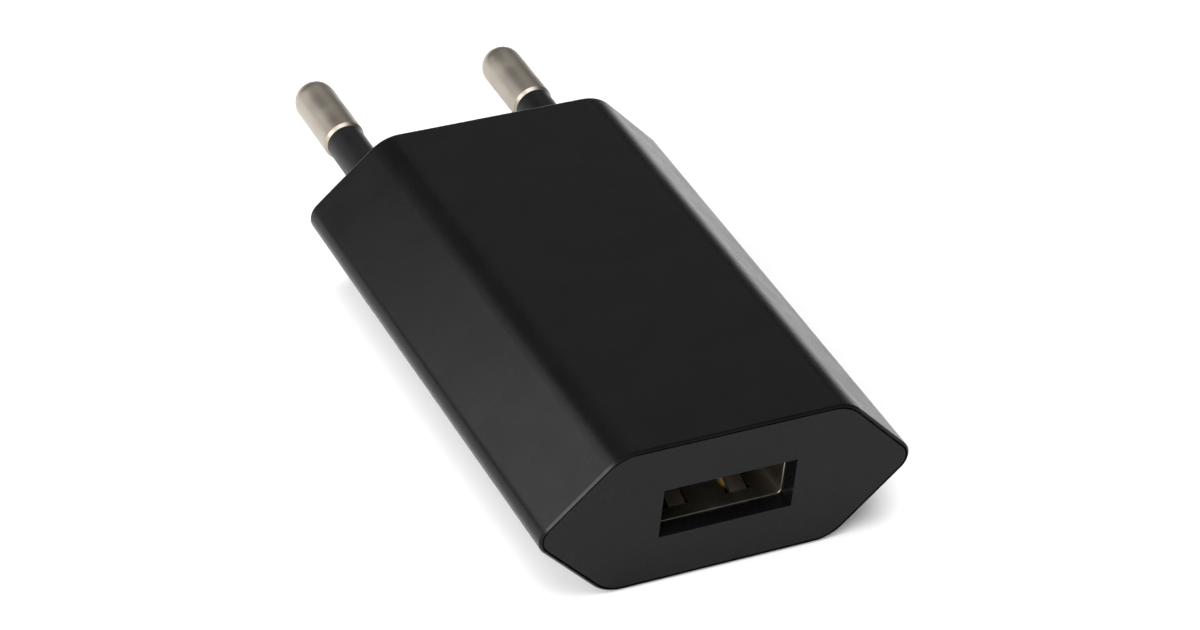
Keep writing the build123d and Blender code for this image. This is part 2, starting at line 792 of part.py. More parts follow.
with BuildPart() as output_diode_caps:
    for side in (-1, 1):
        end = diode_y + side * diode_length / 2
        with BuildSketch(lengthways(diode_x - diode_width / 4)):
            with BuildLine():
                Polyline(
                    (end, board_top + diode_height / 2),
                    (end + side * leg_thickness, board_top + diode_height / 2),
                    (end + side * leg_thickness, board_top),
                    (end - side * diode_length / 4, board_top),
                    (end - side * diode_length / 4, board_top + leg_thickness),
                    (end, board_top + leg_thickness),
                    close=True,
                )
            make_face()
        extrude(amount=diode_width / 2)
save(output_diode_caps, "output_diode_caps")

# ---- safety capacitor across the isolation gap ----
disc_z = board_top + disc_lift + disc_diameter / 2
disc_spots = [(disc_x - disc_pitch / 2, disc_y), (disc_x + disc_pitch / 2, disc_y)]
with BuildPart() as y_capacitor:
    with BuildSketch(across_from(disc_y + disc_thickness / 2, disc_x, disc_z)):
        Circle(disc_diameter / 2)
    extrude(amount=disc_thickness)
    fillet(edges().filter_by(GeomType.CIRCLE), disc_thickness / 2.5)
    with BuildSketch(Plane.XY.offset(board_top)):
        with Locations(*disc_spots):
            Circle(lead_diameter / 2)
    extrude(amount=disc_diameter / 2 + disc_lift, mode=Mode.SUBTRACT)
save(y_capacitor, "y_capacitor")

with BuildPart() as y_capacitor_leads:
    with BuildSketch(Plane.XY.offset(board_bottom - lead_below)):
        with Locations(*disc_spots):
            Circle(lead_diameter / 2)
    extrude(amount=disc_z - board_bottom + lead_below)
save(y_capacitor_leads, "y_capacitor_leads")

# ---- controller chip under the board ----
chip_top = board_bottom - chip_standoff
with BuildPart() as controller_chip:
    box_between(
        (chip_x - chip_width / 2, chip_y - chip_length / 2, chip_top - chip_height),
        (chip_x + chip_width / 2, chip_y + chip_length / 2, chip_top),
    )
    chamfer(edges().group_by(Axis.Z)[0], chip_height / 8)
save(controller_chip, "controller_chip")

with BuildPart() as controller_chip_legs:
    for side in (-1, 1):
        for i in range(4):
            y = chip_y + (i - 1.5) * chip_leg_pitch
            near = chip_x + side * chip_width / 2
            far = chip_x + side * chip_reach
            with BuildSketch(Plane(origin=(0, y, 0), x_dir=(1, 0, 0), z_dir=(0, -1, 0))):
                gull_wing(near, far, chip_top - chip_height / 2, board_bottom)
            extrude(amount=leg_thickness, both=True)
save(controller_chip_legs, "controller_chip_legs")


def small_chips(name, places, height):
    """Chip resistors or capacitors under the board, as one group of separate solids."""
    with BuildPart() as chips:
        for x, y in places:
            box_between(
                (x - small_length / 2, y - small_width / 2, board_bottom - height),
                (x + small_length / 2, y + small_width / 2, board_bottom),
            )
    save(chips, name)


small_chips("smd_resistors", primary_resistors + secondary_resistors, resistor_height)
small_chips("smd_capacitors", capacitor_places, capacitor_height)

# ---- circuit board, with a hole for every lead and tab ----
round_spots = transformer_spots + input_spots + output_spots + fuse_spots + choke_spots + disc_spots
leaf_tab_x = pin_spacing / 2 - leaf_tab_inset
leaf_tabs = [(x, leaf_rear - leaf_length / 2) for x in (-leaf_tab_x, leaf_tab_x)]
contact_tails = [(x, block_rear + contact_thickness / 2) for x in contact_places.values()]
shell_legs = [
    (side * (usb_width - usb_sheet) / 2, usb_front + place) for side in (-1, 1) for place in shell_leg_places
]
flat_tabs = (
    (leaf_tabs, leaf_tab_width, leaf_thickness),
    (contact_tails, contact_width, contact_thickness),
    (shell_legs, usb_sheet, shell_leg_width),
)

with BuildPart() as circuit_board:
    with BuildSketch(Plane.XY.offset(board_bottom)):
        with Locations((0, (board_front + board_rear) / 2)):
            Rectangle(board_width, board_rear - board_front)
        with Locations(*round_spots):
            Circle(lead_diameter / 2 + hole_gap, mode=Mode.SUBTRACT)
        for spots, width, depth in flat_tabs:
            with Locations(*spots):
                Rectangle(width + 2 * hole_gap, depth + 2 * hole_gap, mode=Mode.SUBTRACT)
        with Locations((transformer_x, transformer_y)):
            SlotOverall(slot_length, slot_width, mode=Mode.SUBTRACT)
    extrude(amount=board_thickness)
save(circuit_board, "circuit_board")

# ---- solder joints under the board ----
with BuildPart() as solder_joints:
    joint_level = board_bottom - solder_height / 2
    with Locations(*[(x, y, joint_level) for x, y in round_spots + leaf_tabs + contact_tails]):
        Cone(solder_radius / 2, solder_radius, solder_height)
    with Locations(*[(x, y, joint_level) for x, y in shell_legs]):
        Cone(solder_radius * 0.8, solder_radius * 1.2, solder_height)
    with BuildSketch(Plane.XY.offset(board_bottom - 2 * solder_height)):
        with Locations(*round_spots):
            Circle(lead_diameter / 2)
        for spots, width, depth in flat_tabs:
            with Locations(*spots):
                Rectangle(width, depth)
    extrude(amount=3 * solder_height, mode=Mode.SUBTRACT)
save(solder_joints, "solder_joints")
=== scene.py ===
"""Looks of a slim USB wall charger: finishes for its moulded casing, mains pins and socket, and
finely modelled parts inside it. Metres, +Z up, the socket faces -Y and the pins point along +Y."""

from math import cos, pi, radians, sin, tau

import bmesh
import bpy
from bpy.props import FloatProperty, FloatVectorProperty, IntProperty, PointerProperty
from bpy.types import Operator, Panel, PropertyGroup
from mathutils import Matrix, Vector


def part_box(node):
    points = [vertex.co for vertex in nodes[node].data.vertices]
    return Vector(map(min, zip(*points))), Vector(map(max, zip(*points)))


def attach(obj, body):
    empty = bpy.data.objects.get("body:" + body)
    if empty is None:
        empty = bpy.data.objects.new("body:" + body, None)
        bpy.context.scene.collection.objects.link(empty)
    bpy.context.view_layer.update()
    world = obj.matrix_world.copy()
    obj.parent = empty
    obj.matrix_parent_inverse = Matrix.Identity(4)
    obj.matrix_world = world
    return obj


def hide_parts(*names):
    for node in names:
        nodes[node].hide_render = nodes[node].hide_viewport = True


bl_info = {
    "name": "USB wall charger looks",
    "version": (1, 0, 0),
    "blender": (4, 5, 0),
    "location": "3D View > Sidebar > Charger",
    "description": "Finishes and fine pieces of a slim USB wall charger",
    "category": "Object",
}

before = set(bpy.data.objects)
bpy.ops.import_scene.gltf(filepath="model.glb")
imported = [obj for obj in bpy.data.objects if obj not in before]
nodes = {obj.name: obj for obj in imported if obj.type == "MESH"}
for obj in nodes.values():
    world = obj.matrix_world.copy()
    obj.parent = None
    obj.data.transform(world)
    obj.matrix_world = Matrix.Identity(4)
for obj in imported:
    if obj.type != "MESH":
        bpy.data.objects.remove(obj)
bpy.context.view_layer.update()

MM = 0.001
LENGTH = {"subtype": "DISTANCE", "unit": "LENGTH"}
WINDING_PITCH = 1.04  # from turn to turn, in diameters of the wire


# ---- Material tools ----
def linear(code):
    """Linear RGBA of an sRGB hex colour."""
    channels = [int(code[i : i + 2], 16) / 255 for i in (1, 3, 5)]
    return (*[c / 12.92 if c <= 0.04045 else ((c + 0.055) / 1.055) ** 2.4 for c in channels], 1.0)


def socket(sockets, name):
    """The socket of that name that is in use."""
    return next(s for s in sockets if s.name == name and s.enabled)


def add_node(tree, kind, links=None, values=None, **settings):
    """Adds a node with its own settings, its socket values and the sockets that feed it."""
    made = tree.nodes.new(kind)
    for name, value in settings.items():
        setattr(made, name, value)
    for name, value in (values or {}).items():
        socket(made.inputs, name).default_value = value
    for name, source in (links or {}).items():
        tree.links.new(source, socket(made.inputs, name))
    return made


def new_finish(name, values):
    """An empty material with its shader, its tree and the object's own coordinates in metres."""
    finish = bpy.data.materials.new(name)
    finish.use_nodes = True
    tree = finish.node_tree
    tree.nodes.clear()
    shader = add_node(tree, "ShaderNodeBsdfPrincipled", values=values)
    add_node(tree, "ShaderNodeOutputMaterial", links={"Surface": shader.outputs["BSDF"]})
    place = add_node(tree, "ShaderNodeTexCoord").outputs["Object"]
    return finish, tree, shader, place


def mottled(tree, place, size, low, high, detail=3.0, stretch=(1.0, 1.0, 1.0)):
    """A noise of features about size metres wide, spread between the numbers low and high."""
    spread = add_node(tree, "ShaderNodeMapping", links={"Vector": place}, values={"Scale": stretch})
    cloud = add_node(
        tree,
        "ShaderNodeTexNoise",
        links={"Vector": spread.outputs["Vector"]},
        values={"Scale": 1 / size, "Detail": detail},
    )
    limits = {"From Min": 0.3, "From Max": 0.7, "To Min": low, "To Max": high}
    ranged = add_node(
        tree, "ShaderNodeMapRange", links={"Value": cloud.outputs["Fac"]}, values=limits, clamp=False
    )
    return ranged.outputs["Result"]


def tinted(tree, factor, low, high):
    """A colour between low and high, each a linear RGBA or a socket, as factor goes from 0 to 1."""
    mix = add_node(tree, "ShaderNodeMix", data_type="RGBA", links={"Factor": factor})
    for name, colour in (("A", low), ("B", high)):
        if isinstance(colour, bpy.types.NodeSocket):
            tree.links.new(colour, socket(mix.inputs, name))
        else:
            socket(mix.inputs, name).default_value = colour
    return socket(mix.outputs, "Result")


def relief(tree, shader, height, depth, under=None):
    """Bumps the shader by height times depth metres, on top of another bump if there is one."""
    links = {"Height": height}
    if under is not None:
        links["Normal"] = under
    bump = add_node(tree, "ShaderNodeBump", links=links, values={"Distance": depth})
    tree.links.new(bump.outputs["Normal"], shader.inputs["Normal"])
    return bump.outputs["Normal"]


def steady_finish(name, tones, size, rough, values, bump=None, stretch=(1.0, 1.0, 1.0)):
    """A finish whose colour and roughness wander a little, with an optional (size, depth) bump."""
    finish, tree, shader, place = new_finish(name, values)
    cloud = mottled(tree, place, size, 0.0, 1.0, stretch=stretch)
    tree.links.new(tinted(tree, cloud, linear(tones[0]), linear(tones[1])), shader.inputs["Base Color"])
    gloss = mottled(tree, place, size * 0.6, rough[0], rough[1], stretch=stretch)
    tree.links.new(gloss, shader.inputs["Roughness"])
    if bump:
        relief(tree, shader, mottled(tree, place, bump[0], 0.0, 1.0, stretch=stretch), bump[1])
    return finish


def marked(finish, mask, colour):
    """Lays a second colour over a finish where mask, a function of its tree, is 1."""
    tree = finish.node_tree
    base = next(n for n in tree.nodes if n.type == "BSDF_PRINCIPLED").inputs["Base Color"]
    under = base.links[0].from_socket
    tree.links.new(tinted(tree, mask(tree), under, linear(colour)), base)
    return finish


# ---- Mesh tools ----
def dress(names, finish):
    """Gives the CAD nodes of these names one finish."""
    for name in names:
        nodes[name].material_slots[0].material = finish


def soften(names, width):
    """Rounds the sharp edges of CAD nodes by width metres, as a modifier."""
    for name in names:
        edge = nodes[name].modifiers.new("soft_edges", "BEVEL")
        edge.width = width
        edge.segments = 2
        edge.limit_method = "ANGLE"
        edge.angle_limit = radians(40)
        edge.harden_normals = True


def place_piece(piece, replaced=()):
    """Puts a new piece on the charger and hides the CAD nodes it stands for."""
    bpy.context.scene.collection.objects.link(piece)
    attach(piece, "root")
    if replaced:
        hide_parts(*replaced)
    return piece


def mesh_piece(name, shape, finishes, replaced=(), crease=35):
    """Makes a piece of a bmesh, smooth except where its faces meet at more than crease degrees."""
    bmesh.ops.recalc_face_normals(shape, faces=shape.faces)
    mesh = bpy.data.meshes.new(name)
    shape.to_mesh(mesh)
    shape.free()
    mesh.shade_smooth()
    mesh.set_sharp_from_angle(angle=radians(crease))
    for finish in finishes:
        mesh.materials.append(finish)
    return place_piece(bpy.data.objects.new(name, mesh), replaced)


def wire_piece(name, runs, diameter, finish, replaced=()):
    """Makes one piece of round wire that follows each run of points."""
    curve = bpy.data.curves.new(name, "CURVE")
    curve.dimensions = "3D"
    curve.bevel_depth = diameter / 2
    curve.bevel_resolution = 2
    curve.use_fill_caps = True
    for run in runs:
        spline = curve.splines.new("POLY")
        spline.points.add(len(run) - 1)
        for point, position in zip(spline.points, run):
            point.co = (*position, 1.0)
    curve.materials.append(finish)
    return place_piece(bpy.data.objects.new(name, curve), replaced)


def turned(shape, profile, middle, along, steps=40, material=0):
    """Turns a profile of (radius, height) points about an axis through middle; along is X, Y or Z."""
    axis = "XYZ".index(along)
    first, second = (axis + 1) % 3, (axis + 2) % 3
    rings = []
    for radius, height in profile:
        ring = []
        for i in range(steps if radius > 0 else 1):
            spot = Vector(middle)
            spot[axis] += height
            spot[first] += radius * cos(tau * i / steps)
            spot[second] += radius * sin(tau * i / steps)
            ring.append(shape.verts.new(spot))
        rings.append(ring)
    for low, high in zip(rings, rings[1:]):
        for i in range(steps):
            base = (low[i % len(low)], low[(i + 1) % len(low)])
            roof = (high[(i + 1) % len(high)], high[i % len(high)])
            face = shape.faces.new(dict.fromkeys(base + roof))
            face.material_index = material
    return rings


def block(shape, low, high, edge=0.0, material=0):
    """Adds a box between two corners, with its edges bevelled by edge metres."""
    low, high = Vector(low), Vector(high)
    made = bmesh.ops.create_cube(shape, size=1.0)["verts"]
    bmesh.ops.scale(shape, vec=high - low, verts=made)
    bmesh.ops.translate(shape, vec=(low + high) / 2, verts=made)
    faces = {face for vert in made for face in vert.link_faces}
    if edge:
        edges = {side for vert in made for side in vert.link_edges}
        result = bmesh.ops.bevel(shape, geom=list(edges), offset=edge, segments=2, affect="EDGES")
        faces = {face for face in faces if face.is_valid} | set(result["faces"])
    for face in faces:
        face.material_index = material


def rounded_turns(half_a, half_b, corner, turns, growth=0.0):
    """Points (a, b, share) along turns round a rounded rectangle that grows outwards each turn."""
    arc_steps = 5
    count = int(turns * 4 * arc_steps)
    for i in range(count + 1):
        quarter, step = divmod(i, arc_steps)
        swell = growth * i / (4 * arc_steps)
        angle = (quarter + step / (arc_steps - 1)) * pi / 2
        way_a, way_b = ((1, 1), (-1, 1), (-1, -1), (1, -1))[quarter % 4]
        a = way_a * (half_a - corner) + (corner + swell) * cos(angle)
        b = way_b * (half_b - corner) + (corner + swell) * sin(angle)
        yield a, b, i / count


def loose_boxes(name):
    """The lowest and highest corners of each separate solid of a CAD node."""
    shape = bmesh.new()
    shape.from_mesh(nodes[name].data)
    bmesh.ops.remove_doubles(shape, verts=shape.verts, dist=0.001 * MM)
    waiting, found = set(shape.verts), []
    while waiting:
        edge, solid = [waiting.pop()], []
        while edge:
            vert = edge.pop()
            solid.append(vert.co.copy())
            near = {side.other_vert(vert) for side in vert.link_edges} & waiting
            waiting -= near
            edge.extend(near)
        low = Vector(min(co[k] for co in solid) for k in range(3))
        high = Vector(max(co[k] for co in solid) for k in range(3))
        found.append((low, high))
    shape.free()
    return sorted(found, key=lambda box: (round(box[0].x, 6), round(box[0].y, 6)))


# ---- Settings ----
class CasingLook(PropertyGroup):
    roughness: FloatProperty(
        name="Roughness", description="How soft the casing's sheen is", default=0.27, min=0.05, max=1.0
    )
    grain: FloatProperty(
        name="Grain", description="Width of the moulded grain", default=0.12 * MM, **LENGTH
    )
    colour: FloatVectorProperty(
        name="Colour",
        description="Colour of the moulded casing",
        default=linear("#0D0D0E")[:3],
        subtype="COLOR",
        min=0.0,
        max=1.0,
    )


class PinLook(PropertyGroup):
    roughness: FloatProperty(
        name="Roughness", description="How soft the plated pins shine", default=0.4, min=0.05, max=1.0
    )


class CoilSizes(PropertyGroup):
    primary_wire: FloatProperty(
        name="Primary wire", description="Diameter of the primary's wire", default=0.22 * MM, **LENGTH
    )
    secondary_wire: FloatProperty(
        name="Secondary wire", description="Diameter of the secondary's wire", default=0.4 * MM, **LENGTH
    )
    choke_wire: FloatProperty(
        name="Choke wire", description="Diameter of the choke's wire", default=0.28 * MM, **LENGTH
    )
    tape_turns: IntProperty(name="Tape turns", description="Turns of tape round the core", default=3)


class StudioLook(PropertyGroup):
    lens: FloatProperty(name="Lens", description="Focal length in millimetres", default=122.18)
    floor: FloatProperty(name="Floor", description="Width of the floor", default=8.0, **LENGTH)
    brightness: FloatProperty(
        name="Brightness", description="Strength of every lamp, 1 as set up", default=1.0, min=0.0
    )


# ---- Steps ----
class CHARGER_OT_stage(Operator):
    """Sets up the pale floor, the soft lights and the camera"""

    bl_idname = "charger.stage"
    bl_label = "Stage"

    def execute(self, context):
        scene, look = context.scene, context.scene.charger_studio
        bearing, drop, roll = radians(29.75), radians(36.2), radians(6.39)
        ahead = Vector((cos(drop) * sin(bearing), cos(drop) * cos(bearing), -sin(drop)))
        level = ahead.cross(Vector((0, 0, 1))).normalized()
        right = level * cos(roll) + level.cross(ahead) * sin(roll)
        data = bpy.data.cameras.new("camera")
        data.lens = look.lens
        data.clip_start = 10 * MM
        camera = bpy.data.objects.new("camera", data)
        turn = Matrix((right, right.cross(ahead), -ahead)).transposed().to_4x4()
        camera.matrix_world = Matrix.Translation((-0.14324, -0.25963, 0.22022)) @ turn
        scene.collection.objects.link(camera)
        scene.camera = camera
        scene.view_settings.view_transform = "Standard"

        half = look.floor / 2
        mesh = bpy.data.meshes.new("floor")
        corners = [(-half, -half, 0), (half, -half, 0), (half, half, 0), (-half, half, 0)]
        mesh.from_pydata(corners, [], [(0, 1, 2, 3)])
        # Pale paper, matt: it throws soft light up at the casing and shows no pattern.
        paper_values = {"Specular IOR Level": 0.1}
        mesh.materials.append(
            steady_finish("matt_white_paper", ("#F4F4F4", "#F6F6F6"), 0.2, (0.85, 0.95), paper_values)
        )
        floor = bpy.data.objects.new("floor", mesh)
        # Just below the charger, so that the two surfaces never coincide.
        floor.location = (0, 0, -0.02 * MM)
        scene.collection.objects.link(floor)

        # name: (place, width, height, radiance)
        panels = {
            "overhead_panel": ((-0.1, -0.05, 1.2), 1.15, 1.15, 4.3),
            "left_panel": ((-0.72, -0.42, 0.38), 1.0, 0.5, 5.0),
            "front_left_panel": ((-0.53, -0.63, 0.36), 0.22, 0.22, 18.0),
            "front_panel": ((0.35, -0.85, 0.35), 0.9, 0.4, 0.2),
            "back_right_panel": ((0.32, 0.57, 0.47), 0.45, 0.35, 0.4),
            "near_back_panel": ((-0.192, 0.1, 0.135), 0.16, 0.16, 4.3),
        }
        charger_middle = Vector((0, 0, 0.01))
        for name, (spot, width, height, radiance) in panels.items():
            light = bpy.data.lights.new(name, "AREA")
            light.shape = "RECTANGLE"
            light.size = width
            light.size_y = height
            light.energy = radiance * width * height * pi * look.brightness
            panel = bpy.data.objects.new(name, light)
            panel.location = spot
            aim = charger_middle - Vector(spot)
            panel.rotation_euler = aim.to_track_quat("-Z", "Y").to_euler()
            scene.collection.objects.link(panel)

        world = bpy.data.worlds.new("studio")
        world.use_nodes = True
        tree = world.node_tree
        tree.nodes.clear()
        place = add_node(tree, "ShaderNodeTexCoord").outputs["Generated"]
        height = add_node(tree, "ShaderNodeSeparateXYZ", links={"Vector": place}).outputs["Z"]
        rise = add_node(
            tree,
            "ShaderNodeMapRange",
            links={"Value": height},
            values={"From Min": 0.02, "From Max": 0.3},
            interpolation_type="SMOOTHSTEP",
        )
        sky = tinted(tree, rise.outputs["Result"], linear("#9A9A9A"), linear("#5C5C5C"))
        light = add_node(tree, "ShaderNodeBackground", links={"Color": sky})
        add_node(tree, "ShaderNodeOutputWorld", links={"Surface": light.outputs["Background"]})
        scene.world = world
        return {"FINISHED"}


class CHARGER_OT_casing(Operator):
    """Finishes the moulded shell and its front cover"""

    bl_idname = "charger.casing"
    bl_label = "Casing"

    def execute(self, context):
        look = context.scene.charger_casing
        # ABS from a finely spark-eroded mould: deep black, a soft sheen and a faint waviness.
        values = {"IOR": 1.53, "Specular IOR Level": 0.1}
        finish, tree, shader, place = new_finish("moulded_black_abs", values)
        deep = [0.8 * c for c in look.colour]
        tone = tinted(tree, mottled(tree, place, 4 * MM, 0.0, 1.0), (*deep, 1.0), (*look.colour, 1.0))
        tree.links.new(tone, shader.inputs["Base Color"])
        gloss = mottled(tree, place, 3 * MM, look.roughness - 0.02, look.roughness + 0.03)
        tree.links.new(gloss, shader.inputs["Roughness"])
        waves = relief(tree, shader, mottled(tree, place, 12 * MM, 0.0, 1.0, detail=0.0), 0.018 * MM)
        # The real grain is about 0.03 mm; it is drawn four times coarser so that it shows.
        relief(tree, shader, mottled(tree, place, look.grain, 0.0, 1.0), 0.0007 * MM, waves)
        dress(["body_shell", "front_cover"], finish)
        return {"FINISHED"}


class CHARGER_OT_mains_pins(Operator):
    """Finishes the mains pins, their sleeves and their leaf contacts"""

    bl_idname = "charger.mains_pins"
    bl_label = "Mains pins"

    def execute(self, context):
        rough = context.scene.charger_pins.roughness
        # Brass turned on a lathe and nickel plated: a warm grey shine, with the tool's fine rings.
        nickel = steady_finish(
            "turned_nickel_plated_brass",
            ("#9B9388", "#A39B90"),
            3 * MM,
            (rough - 0.04, rough + 0.05),
            {"Metallic": 1.0},
            (0.15 * MM, 0.0006 * MM),
            (0.15, 1.0, 0.15),
        )
        dress(["pin_left", "pin_right"], nickel)
        # Moulded polyamide: black, a little softer than the casing.
        nylon = steady_finish(
            "moulded_black_polyamide",
            ("#101011", "#141415"),
            2 * MM,
            (0.34, 0.42),
            {"IOR": 1.53, "Specular IOR Level": 0.15},
            (0.1 * MM, 0.001 * MM),
        )
        dress(["pin_sleeve_left", "pin_sleeve_right"], nylon)
        # Rolled phosphor bronze: a satin orange metal with lines along the strip.
        bronze = steady_finish(
            "rolled_phosphor_bronze",
            ("#C08A55", "#CC9A66"),
            1 * MM,
            (0.28, 0.38),
            {"Metallic": 1.0},
            (0.08 * MM, 0.001 * MM),
            (1.0, 0.08, 0.08),
        )
        dress(["contact_spring_left", "contact_spring_right"], bronze)
        return {"FINISHED"}


class CHARGER_OT_usb_socket(Operator):
    """Finishes the USB socket"""

    bl_idname = "charger.usb_socket"
    bl_label = "USB socket"

    def execute(self, context):
        # Cold-rolled steel, tin plated: satin, with faint lines along the rolling direction.
        steel = steady_finish(
            "tin_plated_rolled_steel",
            ("#958F83", "#A19B8F"),
            2 * MM,
            (0.32, 0.42),
            {"Metallic": 1.0},
            (0.08 * MM, 0.001 * MM),
            (1.0, 0.1, 1.0),
        )
        dress(["usb_shell"], steel)
        # Glass-filled PBT: a dry black.
        pbt = steady_finish(
            "moulded_black_pbt",
            ("#161617", "#1C1B1B"),
            1 * MM,
            (0.42, 0.52),
            {"IOR": 1.55},
            (0.1 * MM, 0.001 * MM),
        )
        dress(["usb_insulator"], pbt)
        # Thin gold over nickel: a bright yellow, smooth metal.
        gold = steady_finish(
            "gold_flashed_bronze", ("#D3A95A", "#E0BA70"), 1 * MM, (0.16, 0.24), {"Metallic": 1.0}
        )
        dress([name for name in nodes if name.startswith("usb_contact")], gold)
        return {"FINISHED"}


class CHARGER_OT_circuit_board(Operator):
    """Finishes the circuit board and adds its copper tracks and solder joints"""

    bl_idname = "charger.circuit_board"
    bl_label = "Circuit board"

    def execute(self, context):
        # Phenolic paper laminate: tan and fibrous, with a green mask on the track side.
        laminate = steady_finish(
            "phenolic_paper_laminate",
            ("#A37B45", "#B58C54"),
            0.8 * MM,
            (0.45, 0.6),
            {"IOR": 1.5},
            (0.2 * MM, 0.002 * MM),
            (1.0, 0.3, 1.0),
        )

        def track_side(tree):
            """1 on the board's underside, where the tracks run."""
            facing = add_node(tree, "ShaderNodeNewGeometry").outputs["Normal"]
            height = add_node(tree, "ShaderNodeSeparateXYZ", links={"Vector": facing}).outputs["Z"]
            below = add_node(tree, "ShaderNodeMath", operation="LESS_THAN")
            tree.links.new(height, below.inputs[0])
            below.inputs[1].default_value = -0.5
            return below.outputs["Value"]

        dress(["circuit_board"], marked(laminate, track_side, "#1F4A2C"))

        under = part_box("circuit_board")[0].z
        # width, then the corners of the track, in millimetres
        tracks = (
            (1.6, (-9.1, 7.3), (-6.0, 7.4)),
            (1.2, (9.1, 7.3), (9.25, 4.0), (9.25, 2.0)),
            (1.0, (6.0, 7.4), (2.4, 7.4), (2.4, 6.0)),
            (1.0, (6.75, 2.0), (6.75, -1.9)),
            (0.8, (-5.15, -6.6), (-5.15, -0.6), (-3.9, 0.1)),
            (0.9, (-8.65, -6.6), (-8.65, -3.4), (-7.4, -2.2)),
            (0.7, (-1.05, -4.1), (-1.05, -1.2), (1.6, 0.1)),
            (0.7, (1.45, -4.1), (1.7, -1.9)),
            (1.2, (-1.05, -17.1), (-3.6, -17.1), (-5.25, -18.0), (-3.5, -19.15)),
            (0.8, (3.95, -17.1), (3.5, -19.15)),
            (1.4, (6.45, -17.1), (6.4, -27.2)),
            (1.2, (-7.75, -18.0), (-6.4, -21.3), (-6.4, -27.2)),
            (0.5, (-1.0, -19.15), (1.0, -19.15)),
        )
        depth = 0.04 * MM
        copper = bmesh.new()
        for width, *corners in tracks:
            spots = [Vector(corner) * MM for corner in corners]
            runs = [(b - a).normalized() for a, b in zip(spots, spots[1:])]
            rails = []
            for i, spot in enumerate(spots):
                near = runs[max(i - 1, 0) : i + 1]
                ahead = sum(near, Vector((0, 0))).normalized()
                mitre = Vector((-ahead.y, ahead.x)) * width * MM / 2 / max(ahead.dot(near[0]), 0.5)
                rails.append([(*(spot + way * mitre), z) for way in (1, -1) for z in (under, under - depth)])
            verts = [[copper.verts.new(co) for co in rail] for rail in rails]
            for start, end in zip(verts, verts[1:]):
                for a, b in ((0, 1), (1, 3), (3, 2), (2, 0)):
                    copper.faces.new((start[a], start[b], end[b], end[a]))
            for cap in (verts[0], verts[-1]):
                copper.faces.new((cap[0], cap[1], cap[3], cap[2]))
        # Copper under solder mask: a brighter green than the bare laminate, and as glossy.
        masked = steady_finish(
            "solder_mask_over_copper", ("#2F6B3C", "#387645"), 1 * MM, (0.25, 0.35), {"IOR": 1.55}
        )
        mesh_piece("board_tracks", copper, [masked])

        # Wave solder: a bright metal that sinks in a hollow cone from each lead to the board.
        solder = steady_finish(
            "wave_soldered_tin",
            ("#C3C4C6", "#D0D1D3"),
            0.6 * MM,
            (0.18, 0.32),
            {"Metallic": 1.0},
            (0.3 * MM, 0.01 * MM),
        )
        # (share of the radius, share of the height), from the board down to the lead's end
        fillet_outline = (
            (0.0, 0.0),
            (1.0, 0.0),
            (0.8, 0.12),
            (0.6, 0.32),
            (0.48, 0.6),
            (0.42, 0.9),
            (0.36, 0.98),
            (0.0, 1.0),
        )
        joints = bmesh.new()
        for low, high in loose_boxes("solder_joints"):
            middle = ((low.x + high.x) / 2, (low.y + high.y) / 2, high.z)
            radius, height = (high.x - low.x) / 2, high.z - low.z
            profile = [(radius * r, -height * h) for r, h in fillet_outline]
            turned(joints, profile, middle, "Z", 24)
        mesh_piece("solder_fillets", joints, [solder], ["solder_joints"])
        return {"FINISHED"}


